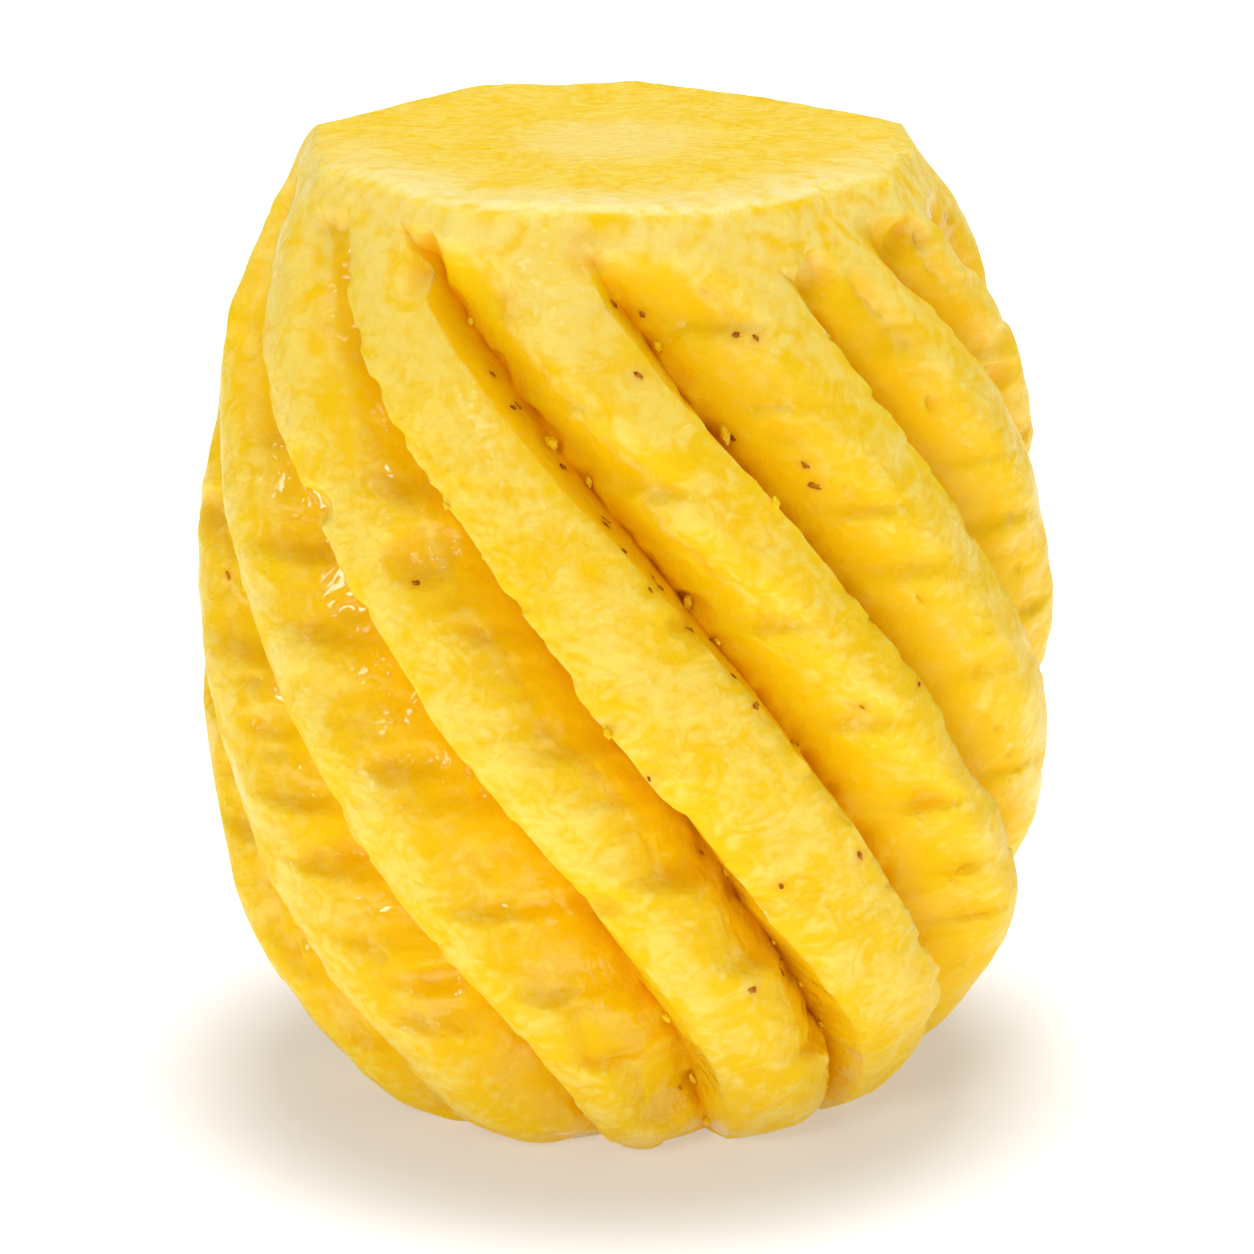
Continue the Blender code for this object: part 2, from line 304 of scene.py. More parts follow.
# radius of the top cut, along the straight edges between its corners
def rimRadius(angle):
    first = form["rimCorners"][0][0]
    angle = first + (angle - first) % 360
    corners = form["rimCorners"] + ((first + 360, form["rimCorners"][0][1]),)
    for start, end in zip(corners, corners[1:]):
        if angle <= end[0]:
            break
    turned = radians(angle - start[0])
    whole = radians(end[0] - start[0])
    return start[1] * end[1] * sin(whole) / (start[1] * sin(turned) + end[1] * sin(whole - turned))


# strokes of the knife along each groove, each with its start and small errors
def cutStrokes():
    allStrokes = []
    for index in range(len(grooves)):
        chance = Random(form["strokeSeed"] + index)
        strokes = []
        start = -chance.uniform(*form["strokeLength"])
        while start < 1:
            errors = [chance.uniform(-1, 1) for _ in range(4)]
            strokes.append((start, errors))
            start += chance.uniform(*form["strokeLength"])
        allStrokes.append(strokes)
    return allStrokes


def strokeErrors(strokes, level):
    errors = strokes[0][1]
    for start, later in strokes[1:]:
        share = smoothStep((level - start) / form["strokeBlend"])
        errors = [old + (new - old) * share for old, new in zip(errors, later)]
    return errors


# levels and drops of the ledges in each groove
def cutLedges():
    allLedges = []
    for index in range(len(grooves)):
        chance = Random(ledges["seed"] + index)
        steps = []
        level, last = ledges["levels"]
        while level < last:
            steps.append((level, chance.uniform(*ledges["drop"])))
            level += chance.uniform(*ledges["gap"])
        allLedges.append(steps)
    return allLedges


# how far the wall stands out at a place between two ledges: hollow above a ledge, proud below the next
def ledgeHeight(steps, along):
    for lower, upper in zip(steps, steps[1:]):
        if along < upper[0]:
            break
    share = clamp((along - lower[0]) / (upper[0] - lower[0]))
    hollow = ledges["hollow"]
    rise = ledges["proud"] * upper[1] * share * share - hollow * lower[1] * (1 - share) ** 2
    edge = smoothStep((share - 1 + ledges["edge"]) / ledges["edge"])
    return rise - (hollow * upper[1] + rise) * edge


# a lip's fine wander along its groove, in degrees: small waves with a nick here and there
def lipWave(index, side, level):
    height, scale = relief["lipWave"]
    nickSize, nickScale, floor = relief["lipNick"]
    along = level * form["height"] * scale
    wave = noise.noise((along, index * 3.7, side * 5.1))  # each lip has its own part of the noise
    nick = noise.noise((along * nickScale, index * 2.3 + 40, side * 7.7))
    return height * (wave - side * nickSize * max(0.0, nick - floor))


def swayAt(sway, level):
    level = min(max(level, swayLevels[0]), swayLevels[-1])
    for low, high, start, end in zip(swayLevels, swayLevels[1:], sway, sway[1:]):
        if level <= high:
            return start + (end - start) * (level - low) / (high - low)
    return sway[-1]


# left lip, deepest line, right lip, depth and the softer side of a groove at a level
def grooveAt(index, level, strokes, steps):
    left, right, turn, bend, high, low, fullDepth, top, leftSway, rightSway = grooves[index]
    rise = level - 0.5
    errors = strokeErrors(strokes, level)
    middle = (left + right) / 2 - turn * rise - bend * rise * rise
    baseShare = 1 - (1 - form["baseShare"]) * smoothStep(1 - level / form["baseFade"])
    halfWidth = (right - left) / 2 * baseShare * barrelRadius(0.5) / barrelRadius(level)
    left = middle - halfWidth + errors[0] * form["lipWander"] + swayAt(leftSway, level)
    right = middle + halfWidth + errors[1] * form["lipWander"] + swayAt(rightSway, level)
    left += lipWave(index, -1, level)
    right += lipWave(index, 1, level)
    share = low + (high - low) * smoothStep(level) + errors[3] * form["deepestWander"]
    share = min(max(share, form["shareLimits"][0]), form["shareLimits"][1])
    depth = fullDepth * (1 + errors[2] * form["depthWander"]) * baseShare
    depth *= smoothStep((top - level) / form["topFade"]) ** 0.5
    deepest = left + (right - left) * share
    softSide = -1 if high + low > 1 else 1
    lip = left if softSide < 0 else right
    lean = ledges["lean"] * radians(lip - deepest) * barrelRadius(level) / form["height"]
    bite = ledgeHeight(steps, level - lean)
    bite *= ledges["lipBite"] * smoothStep(depth / relief["fullDepth"])
    if softSide < 0:
        left += bite
    else:
        right -= bite
    return left, deepest, right, depth, softSide


# every groove in each row of the fruit, from the base to the top
def grooveLines(steps):
    rows = fineness["rows"]
    strokes = cutStrokes()
    lines = []
    for row in range(rows + 1):
        level = row / rows
        lines.append([grooveAt(i, level, strokes[i], steps[i]) for i in range(len(grooves))])
    return lines


def dentDepth(angle, level):
    total = 0.0
    for middle, height, halfWidth, halfHeight, depth in dents:
        along = (level - height) * form["height"] / halfHeight
        if abs(along) > 1 + dentFloor:
            continue
        turn = (angle - middle + 180) % 360 - 180
        across = radians(turn) * barrelRadius(height) / halfWidth
        total += depth * smoothStep(1 + dentFloor - hypot(across, along))
    return total


# how far the flesh falls off to the left and the right lip: more on the softer side
def lipDrops(line):
    full = smoothStep(line[3] / form["lipDropFullDepth"])
    crisp = form["lipDrop"] * full
    soft = form["softLipDrop"] * full
    return (soft, crisp) if line[4] < 0 else (crisp, soft)


# angle, depth below the barrel, share of the wall (0 at a lip, 1 in the deepest line), side of the wall
def columnPlace(index, step, lines):
    left, deepest, right, depth, softSide = lines[index]
    steps = fineness["grooveSteps"]
    leftDrop, rightDrop = lipDrops(lines[index])
    if step <= steps:
        share = (deepest - left) / (right - left)
        least = fineness["leastWallSteps"]
        leftSteps = min(max(round(steps * share), least), steps - least)
        if step <= leftSteps:
            wall = step / leftSteps
            angle = left + (deepest - left) * wall
            side = -1
            drop = leftDrop
        else:
            wall = (steps - step) / (steps - leftSteps)
            angle = right + (deepest - right) * wall
            side = 1
            drop = rightDrop
        hollow = form["softWallHollow"] if side == softSide else form["wallHollow"]
        fall = wall * (1 - hollow) + wall * wall * hollow
        return angle, drop + (depth - drop) * fall, wall, side
    following = (index + 1) % len(grooves)
    end = lines[following][0] + (360 if following == 0 else 0)
    share = (step - steps) / fineness["landSteps"]
    nearLeft = max(0.0, 1 - 2 * share) ** 2
    nearRight = max(0.0, 2 * share - 1) ** 2
    crown = form["crown"] * (1 - (2 * share - 1) ** 2)
    drop = rightDrop * nearLeft + lipDrops(lines[following])[0] * nearRight
    return right + (end - right) * share, drop - crown, 0.0, 0


# noise at a point: the shift only picks another part of the noise
def noiseAt(point, scale, shift=0.0):
    if isinstance(scale, tuple):
        return noise.noise((point.x * scale[0] + shift, point.y * scale[1], point.z * scale[2]))
    return noise.noise(point * scale + Vector((shift, 0, 0)))


# paler and deeper patches in the flesh: two shares from about -1 to 1
def patchAt(point):
    size, scale = patches["warp"]
    warp = Vector((noiseAt(point, scale, 3), noiseAt(point, scale, 50), noiseAt(point, scale, 90))) * size
    return noiseAt(point + warp, patches["large"], 7), noiseAt(point + warp * 2, patches["small"], 17)


# the walls under soft left lips are the wettest, most of all in their middle
def toWetWall(wall, softSide):
    fromLip, fromBottom = wallShades["crinkledMiddle"]
    inMiddle = smoothStep(wall * fromLip) * smoothStep((1 - wall) * fromBottom)
    return inMiddle * (1.0 if softSide < 0 else wallShades["crinkledElsewhere"])


# small relief of the side at a point, and the shares of pale, amber, wet and milky flesh there, and of the
# painted shade in the bottoms of grooves and dents
def sideFlesh(index, angle, level, point, grain, wall, side, line, following, steps):
    left, deepest, right, depth, softSide = line
    full = smoothStep(depth / relief["openDepth"])
    onWall = smoothStep(wall * relief["wallStart"]) * full
    onLand = 1 - onWall
    large, small = patchAt(point)
    radius = hypot(point.x, point.y)
    height = relief["broad"][0] * noiseAt(point, relief["broad"][1])
    height += onLand * relief["land"][0] * noiseAt(point, relief["land"][1], 5)
    size, scale, floor = relief["landPore"]
    height -= onLand * size * max(0.0, noiseAt(point, scale, 61) - floor)
    scooped = smoothStep(dentDepth(angle, level) / relief["fullDent"])
    shade = ridgeShades
    upper = ramp(level, *shade["upper"])
    pale = shade["pale"] - shade["paleLeft"] * point.x / form["barrel"][5][1] + shade["paleLevel"] * level
    pale = pale + shade["paleUpper"] * upper + shade["paleLarge"] * large + shade["paleSmall"] * small
    amber = max(0.0, -shade["amberLarge"] * large - shade["amberSmall"] * small - shade["amberFloor"])
    wet = shade["wet"] + shade["wetLarge"] * large + shade["wetDent"] * scooped
    milk = (shade["milk"] + shade["milkUpper"] * upper) * onLand * clamp(shade["milkPatch"] + small)
    if side == 0:
        # the ridge is painted paler in its middle and darker and more amber along both lips: painted light
        # and painted shade of its rounded edges
        fromLeft = radians(angle - right) * radius
        fromRight = radians(following[0] + (360 if index == len(grooves) - 1 else 0) - angle) * radius
        leftIsSoft = softSide > 0
        rightIsSoft = following[4] < 0
        leftBand = patches["softLipShadeBand" if leftIsSoft else "lipShadeBand"]
        rightBand = patches["softLipShadeBand" if rightIsSoft else "lipShadeBand"]
        nearLeft = exp(-(fromLeft / leftBand) ** 2) * full
        nearRight = exp(-(fromRight / rightBand) ** 2) * smoothStep(following[3] / relief["fullDepth"])
        amber += shade["amberShadeSoftLip" if leftIsSoft else "amberShadeLeftLip"] * nearLeft
        amber += shade["amberShadeSoftLip" if rightIsSoft else "amberShadeRightLip"] * nearRight
        pale += shade["paintedLightMidRidge"] - shade["paintedShadeAtLip"] * (nearLeft + nearRight)
        # dents and pits are painted less pale, more amber and darker: painted shade in the hollow
        amber += shade["amberShadeInDent"] * scooped
        deepShade = shade["deepShadeInDent"] * scooped
        return height, clamp(pale - scooped), clamp(amber), deepShade, clamp(wet), clamp(milk)
    along = level - ledges["lean"] * radians(angle - deepest) * radius / form["height"]
    along += ledges["ragged"][0] * noiseAt(point, ledges["ragged"][1], 21)
    along += ledges["ragFine"][0] * noiseAt(point, ledges["ragFine"][1], 33)
    wide = ledges["crispShare"]
    if side == softSide:
        wide = ledges["softLeftShare" if side < 0 else "softRightShare"]
    scale, least, swing = ledges["fade"]
    step = ledgeHeight(steps, along) * clamp(least + swing * noiseAt(point, scale, 47))
    height += onWall * wide * step
    height += onWall * relief["scoop"][0] * noiseAt(grain, relief["scoop"][1], 9)
    height += onWall * relief["fibre"][0] * noiseAt(grain, relief["fibre"][1], 13)
    shade = wallShades
    crinkled = toWetWall(wall, softSide) * full * clamp(shade["crinkled"] + shade["crinkledLarge"] * large)
    height += crinkled * relief["crinkle"][0] * noiseAt(point, relief["crinkle"][1], 83)
    # the deep part of a groove gets its torn relief, and a painted shade that grows darker towards the bottom
    deepShade = ramp(wall, *shade["deepShade"]) * smoothStep(depth / relief["fullDepth"])
    height += deepShade * relief["bottom"][0] * noiseAt(point, relief["bottom"][1], 3)
    size, scale, floor = relief["nick"]
    nearLip = exp(-(wall * relief["wallStart"]) ** 2)
    height -= nearLip * full * size * max(0.0, noiseAt(point, scale, 31) - floor)
    toWall = smoothStep(wall * shade["softSpread" if side == softSide else "crispSpread"]) * full
    # proud ledges are painted paler and less amber: painted light where they catch the light
    proud = max(0.0, step - shade["proudFloor"]) * wide
    wallPale = shade["pale"] + shade["paintedLightOnLedge"] * proud + shade["paleSmall"] * max(0.0, small)
    wallAmber = shade["amber"] + shade["amberSmall"] * small - shade["amberLossOnLitLedge"] * proud
    wallWet = shade["wet"] + shade["wetLarge"] * large
    pale = pale * (1 - toWall) + toWall * wallPale
    amber = max(amber, shade["amberLeast"] * full) * (1 - toWall) + toWall * wallAmber
    wet = wet * (1 - toWall) + toWall * wallWet + shade["wetCrinkled"] * crinkled
    return height, clamp(pale), clamp(amber), deepShade, clamp(wet), clamp(milk)


# relief of the top cut, and its shares of pale, amber and milky flesh, with a painted reflection that pales
# its front near the rim
def topFlesh(angle, radius, share):
    size, around, outward = relief["topFibre"]
    shade = topShades
    turn = radians(angle)
    nearRim = ramp(share, *shade["rim"])
    streak = noise.noise((cos(turn) * around, sin(turn) * around, radius * outward)) * nearRim
    point = Vector((radius * sin(turn), radius * cos(turn), 0))
    large, small = patchAt(point)
    height = size * streak + relief["topBroad"][0] * noiseAt(point, relief["topBroad"][1], 2)
    pore, scale, floor = relief["topPore"]
    height -= pore * max(0.0, noiseAt(point, scale, 8) - floor) * nearRim
    # the front of the top near the rim is painted paler and milkier: a painted reflection of the bright
    # surroundings seen at a grazing angle
    front = ramp(share, *shade["front"]) * clamp(cos(turn) + shade["sheenFrontTurn"])
    pale = shade["pale"] + shade["paleStreak"] * streak + shade["paleLarge"] * large
    pale = pale + shade["paleSmall"] * small + shade["paleSheenAtFront"] * front
    amber = max(0.0, -shade["amberStreak"] * streak - shade["amberSmall"] * small - shade["amberFloor"])
    amber *= nearRim
    milk = shade["milkCore"] * (1 - ramp(share, *shade["core"])) + front * clamp(shade["milkSheenAtFront"] + small)
    return height, clamp(pale), clamp(amber), clamp(milk)


# a turned blank: rows up the side, rings in the flat ends
def turnBlank(columns):
    mesh = bmesh.new()
    rows = fineness["rows"]
    outline = [(ring / fineness["baseRings"], 0.0) for ring in range(fineness["baseRings"])]
    outline += [(1.0, row / rows) for row in range(rows + 1)]
    top = fineness["topRings"]
    outline += [(1 - (ring / top) ** fineness["topCrowding"], 1.0) for ring in range(1, top + 1)]
    points = [mesh.verts.new((radius, 0.0, level)) for radius, level in outline]
    edges = [mesh.edges.new(pair) for pair in zip(points, points[1:])]
    bmesh.ops.spin(
        mesh, geom=points + edges, cent=(0, 0, 0), axis=(0, 0, 1), angle=2 * pi, steps=columns, use_merge=True
    )
    bmesh.ops.remove_doubles(mesh, verts=mesh.verts, dist=fineness["weld"])
    return mesh


# moves each point of the blank to its place on the fruit, and notes what the material needs there
def carveFruit(mesh, columns, lines, steps):
    rows = fineness["rows"]
    layers = {name: mesh.verts.layers.float.new(name) for name in shareNames}
    grainLayer = mesh.verts.layers.float_vector.new("grain")
    perGroove = fineness["grooveSteps"] + fineness["landSteps"]
    for vertex in mesh.verts:
        level = vertex.co.z
        row = round(level * rows)
        share = min(hypot(vertex.co.x, vertex.co.y), 1.0)
        column = round(atan2(vertex.co.y, vertex.co.x) / (2 * pi) * columns) % columns
        index, step = divmod(column, perGroove)
        angle, drop, wall, side = columnPlace(index, step, lines[row])
        shoulder = smoothStep((level - form["shoulderLevel"]) / (1 - form["shoulderLevel"]))
        radius = barrelRadius(level) + (rimRadius(angle) - form["barrel"][-1][1]) * shoulder
        radius -= drop + dentDepth(angle, level)
        turn = radians(angle)
        untwist = turn + radians(grainShape["turn"]) * (level - 0.5)
        height = level * form["height"]
        grain = Vector((radius * sin(untwist), -radius * cos(untwist), height * grainShape["stretch"]))
        point = Vector((radius * sin(turn), -radius * cos(turn), height))
        line = lines[row][index]
        following = lines[row][(index + 1) % len(grooves)]
        stand, pale, amber, deepShade, wet, milk = sideFlesh(
            index, angle, level, point, grain, wall, side, line, following, steps[index]
        )
        radius += stand * ramp(share, *ends["relief"]) * (1.0 if row else ends["baseRelief"])
        if row == rows:
            size, scale, floor = relief["rimNick"]
            inset, fall = relief["rimRound"]
            atRim = ramp(share, *ends["round"])
            radius -= inset * atRim
            radius -= size * max(0.0, noiseAt(point, scale, 71) - floor) * ramp(share, *ends["nicks"])
            lift, pale, amber, milk = topFlesh(angle, radius * share, share)
            height += lift - fall * atRim
            deepShade = 0.0
            wet = topShades["wet"]
            flat = Vector((grain.x * share, grain.y * share, grain.z))
            polar = grain + Vector((0, 0, radius * (1 - share) * grainShape["topStretch"]))
            grain = flat.lerp(polar, ramp(share, *grainShape["topBlend"]))
        middle = form["topMiddle"] * level ** 3
        vertex.co = (middle + radius * share * sin(turn), -radius * share * cos(turn), height)
        for name, value in zip(shareNames, (pale, amber, deepShade, wet, milk)):
            vertex[layers[name]] = value
        vertex[grainLayer] = grain


def centreOnOrigin(mesh):
    for axis in (0, 1):
        values = [vertex.co[axis] for vertex in mesh.verts]
        shift = (min(values) + max(values)) / 2
        for vertex in mesh.verts:
            vertex.co[axis] -= shift


def addNode(nodes, kind, place, **inputs):
    node = nodes.new(kind)
    node.location = place
    for name, value in inputs.items():
        setattr(node, name, value)
    return node


# the flesh: colours as linear light, bumps per metre, heights in metres
flesh = {
    "cream": (0.98, 0.69, 0.095, 1),
    "golden": (0.95, 0.58, 0.003, 1),
    "amber": (0.94, 0.575, 0.001, 1),
    # painted shade for the bottoms of grooves and dents
    "deepShade": (0.92, 0.50, 0.001, 1),
    "milk": (0.98, 0.79, 0.31, 1),
    "stain": (0.60, 0.20, 0.002, 1),
    "dryRoughness": 0.52,
    "wetRoughness": 0.15,
    "subsurface": 0.36,
    "subsurfaceScale": 0.009,
    "subsurfaceRadius": (1.0, 0.75, 0.12),
    "specular": 0.06,
    "fineScale": 700,
    "fineStrength": 0.8,
    "fineHeight": 0.0006,
    "fineLossOnAmber": -0.6,
    "curlScale": 240,
    "curlDistortion": 1.4,
    "streakScale": 420,
    "streakStretch": (1, 1, 2.4),
    # painted highlights on fine bumps and painted shade in creases, on top of the flesh's own mottle
    "fineHighlightIntoPale": 1.6,
    "creaseShadeIntoPale": 4.0,
    "paleFloor": 1.10,
    "streakIntoAmber": 0.9,
    "amberFloor": 0.45,
    "filmWeight": 0.9,
    "filmRoughness": 0.10,
    "filmHeight": 0.0009,
}


def fleshMaterial():
    material = bpy.data.materials.new("fruitFlesh")
    material.use_nodes = True
    nodes = material.node_tree.nodes
    link = material.node_tree.links.new
    shader = nodes["Principled BSDF"]
    shader.inputs["Specular IOR Level"].default_value = flesh["specular"]
    shader.inputs["Subsurface Weight"].default_value = flesh["subsurface"]
    shader.inputs["Subsurface Scale"].default_value = flesh["subsurfaceScale"]
    shader.inputs["Subsurface Radius"].default_value = flesh["subsurfaceRadius"]
    shader.inputs["Coat Roughness"].default_value = flesh["filmRoughness"]

    where = addNode(nodes, "ShaderNodeTexCoord", (-1600, 0))

    def share(name, place):
        return addNode(nodes, "ShaderNodeAttribute", place, attribute_name=name).outputs["Fac"]

    grain = addNode(nodes, "ShaderNodeAttribute", (-1600, -300), attribute_name="grain").outputs["Vector"]

    def noiseNode(source, scale, detail, place, stretch=(1, 1, 1), distortion=0.0):
        mapping = addNode(nodes, "ShaderNodeMapping", (place[0] - 200, place[1]))
        mapping.inputs["Scale"].default_value = stretch
        link(source, mapping.inputs["Vector"])
        texture = addNode(nodes, "ShaderNodeTexNoise", place)
        texture.inputs["Scale"].default_value = scale
        texture.inputs["Detail"].default_value = detail
        texture.inputs["Distortion"].default_value = distortion
        link(mapping.outputs["Vector"], texture.inputs["Vector"])
        return texture.outputs["Fac"]

    def sums(kind, first, second, place, third=None):
        node = addNode(nodes, "ShaderNodeMath", place, operation=kind)
        for socket, value in zip(node.inputs, (first, second, third)):
            if isinstance(value, float):
                socket.default_value = value
            elif value is not None:
                link(value, socket)
        return node.outputs[0]

    def mixColour(factor, first, second, place):
        node = addNode(nodes, "ShaderNodeMix", place, data_type="RGBA")
        for socket, value in ((node.inputs[0], factor), (node.inputs[6], first), (node.inputs[7], second)):
            if isinstance(value, (float, tuple)):
                socket.default_value = value
            else:
                link(value, socket)
        return node.outputs[2]

    def bumpFrom(heights, strength, distance, place):
        bump = addNode(nodes, "ShaderNodeBump", place)
        bump.inputs["Strength"].default_value = strength
        bump.inputs["Distance"].default_value = distance
        link(heights, bump.inputs["Height"])
        return bump.outputs["Normal"]

    local = where.outputs["Object"]
    fine = noiseNode(local, flesh["fineScale"], 2, (-1200, 450))
    curl = noiseNode(local, flesh["curlScale"], 1, (-1200, 700), distortion=flesh["curlDistortion"])
    streak = noiseNode(grain, flesh["streakScale"], 1, (-1200, 200), flesh["streakStretch"])

    # wormy folds and fine bumps mixed into the pale share: partly the flesh's own mottle, partly painted
    # shade in the creases and painted highlights on the bumps
    creaseShade = sums("ABSOLUTE", sums("SUBTRACT", curl, 0.5, (-1000, 850)), None, (-900, 850))
    pale = sums("MULTIPLY_ADD", fine, flesh["fineHighlightIntoPale"], (-900, 700), share("pale", (-1600, 700)))
    pale = sums("MULTIPLY_ADD", creaseShade, flesh["creaseShadeIntoPale"], (-750, 700), pale)
    pale = sums("SUBTRACT", pale, flesh["paleFloor"], (-650, 700))
    colour = mixColour(pale, flesh["golden"], flesh["cream"], (-600, 700))
    amber = sums("MULTIPLY_ADD", streak, flesh["streakIntoAmber"], (-900, 500), share("amber", (-1600, 500)))
    amber = sums("SUBTRACT", amber, flesh["amberFloor"], (-750, 500))
    colour = mixColour(amber, colour, flesh["amber"], (-400, 650))
    # painted shade in the bottoms of grooves and dents
    colour = mixColour(share("deepShade", (-1600, 300)), colour, flesh["deepShade"], (-200, 600))
    colour = mixColour(share("milk", (-1600, 200)), colour, flesh["milk"], (0, 600))
    colour = mixColour(share("stain", (-1600, 100)), colour, flesh["stain"], (200, 600))
    link(colour, shader.inputs["Base Color"])

    # wet flesh is smoother, under a film of juice with ripples of its own
    wet = share("wet", (-1600, -500))
    rough = sums("MULTIPLY_ADD", wet, flesh["wetRoughness"] - flesh["dryRoughness"], (-400, 0))
    rough.node.inputs[2].default_value = flesh["dryRoughness"]
    link(rough, shader.inputs["Roughness"])
    link(sums("MULTIPLY", wet, flesh["filmWeight"], (-400, -150)), shader.inputs["Coat Weight"])
    calm = sums("MULTIPLY_ADD", share("amber", (-1200, -550)), flesh["fineLossOnAmber"], (-850, -550), 1.0)
    heights = sums("MULTIPLY", fine, calm, (-700, -350))
    bump = bumpFrom(heights, flesh["fineStrength"], flesh["fineHeight"], (-300, -400))
    film = bumpFrom(curl, 1.0, flesh["filmHeight"], (-300, -650))
    link(bump, shader.inputs["Normal"])
    link(film, shader.inputs["Coat Normal"])
    return material


# specks of rind left in the bottoms: places seen in the photo in its own pixels, and rules for the rest
specks = {
    "seenPixels": (
        (514, 408), (518, 406), (562, 467), (565, 468), (605, 520), (606, 525), (624, 551), (650, 590),
        (653, 578), (660, 588), (614, 304), (642, 314), (638, 375), (736, 335), (756, 338), (492, 374),
        (732, 438), (805, 465), (815, 486), (416, 583), (228, 575), (689, 629), (710, 640), (733, 676),
        (649, 779), (756, 706), (791, 742), (701, 853), (738, 898), (781, 886), (781, 960), (782, 972),
        (753, 990), (680, 1087), (919, 684), (860, 856), (862, 707),
    ),
    "seed": 5,
    "firstLevel": (0.05, 0.12),
    "gap": (0.05, 0.13),
    "belowTop": 0.08,
    "spread": 0.8,
    "behind": 0.005,
    "halfLength": (0.00020, 0.00070),
    "halfWidth": (0.00016, 0.00040),
    "halfThickness": 0.00012,
    "sink": 0.3,
    "lump": (1.1, 1.5, 900),  # height, bumps, and how far apart in the noise two specks are
    "stainReach": 0.0009,
    "stain": 0.35,
    "dark": (0.28, 0.060, 0.003, 1),
    "light": (0.60, 0.21, 0.006, 1),
    "mottle": (1500, 0.35, 0.65),  # bumps per metre, and where the dark ends and the light begins
    "roughness": 0.6,
    "specular": 0.1,
}

# crumbs of torn flesh along the bottoms, placed in the same two ways
crumbs = {
    "seed": 12,
    "firstLevel": (0.03, 0.06),
    "gap": (0.05, 0.16),
    "belowTop": 0.06,
    "spread": 1.4,
    "size": (0.0003, 0.0007),
    "length": (0.9, 1.5),
    "width": (0.6, 1.0),
    "thickness": (0.5, 0.8),
    "rough": 0.55,
    "lump": (1.6, 700),
    "fineLump": (0.4, 4, 900),
    "sink": 0.80,
    "seenPixels": ((728, 433), (548, 447), (692, 602)),
    "seenSize": 0.0008,
    "pale": (0.1, 0.3),
    "wet": 0.45,
    "subsurfaceScale": 0.001,
}

# how specks and crumbs lie: along the grooves, a little astray, found by a ray from well outside the fruit
laying = {"around": 0.63, "up": 0.78, "stray": 0.5, "castFrom": 0.09}


# direction from the camera through a pixel of the photo
def pixelRay(pixel):
    forward = (Vector(camera["aim"]) - Vector(camera["place"])).normalized()
    right = forward.cross(Vector((0, 0, 1))).normalized()
    up = right.cross(forward)
    half = camera["framePixels"] / 2
    reach = camera["sensor"] / 2 / camera["lens"] / half
    return (forward + right * (pixel[0] - half) * reach - up * (pixel[1] - half) * reach).normalized()


# place and normal of the flesh behind a pixel, or at an angle and a level
def seenPlace(tree, pixel):
    place, normal, _, _ = tree.ray_cast(Vector(camera["place"]), pixelRay(pixel))
    return place, normal


def sidePlace(tree, angle, level):
    turn = radians(angle)
    outward = Vector((sin(turn), -cos(turn), 0))
    start = outward * laying["castFrom"] + Vector((0, 0, level * form["height"]))
    place, normal, _, _ = tree.ray_cast(start, -outward)
    return place, normal


# turns a piece to lie on the flesh, with its long side near the given direction
def layOn(place, normal, along, sink):
    side = normal.cross(along).normalized()
    front = side.cross(normal)
    turn = Matrix((front, side, normal)).transposed().to_4x4()
    return Matrix.Translation(place - normal * sink) @ turn


# roughly along the grooves, never quite the same way
def grooveDirection(angle, chance):
    turn = radians(angle)
    stray = laying["stray"]
    direction = Vector((-cos(turn), -sin(turn), 0)) * laying["around"] + Vector((0, 0, laying["up"]))
    return direction + Vector([chance.uniform(-stray, stray) for _ in range(3)])


def angleOf(place):
    return atan2(place.x, -place.y) * 180 / pi


def speckMaterial():
    material = bpy.data.materials.new("rindSpeck")
    material.use_nodes = True
    nodes = material.node_tree.nodes
    link = material.node_tree.links.new
    shader = nodes["Principled BSDF"]
    shader.inputs["Roughness"].default_value = specks["roughness"]
    shader.inputs["Specular IOR Level"].default_value = specks["specular"]
    scale, darkEnd, lightEnd = specks["mottle"]
    where = addNode(nodes, "ShaderNodeTexCoord", (-900, 0))
    texture = addNode(nodes, "ShaderNodeTexNoise", (-700, 0))
    texture.inputs["Scale"].default_value = scale
    texture.inputs["Detail"].default_value = 1
    link(where.outputs["Object"], texture.inputs["Vector"])
    colours = addNode(nodes, "ShaderNodeValToRGB", (-450, 0))
    dark, light = colours.color_ramp.elements
    dark.position = darkEnd
    dark.color = specks["dark"]
    light.position = lightEnd
    light.color = specks["light"]
    link(texture.outputs["Fac"], colours.inputs["Fac"])
    link(colours.outputs["Color"], shader.inputs["Base Color"])
    return material


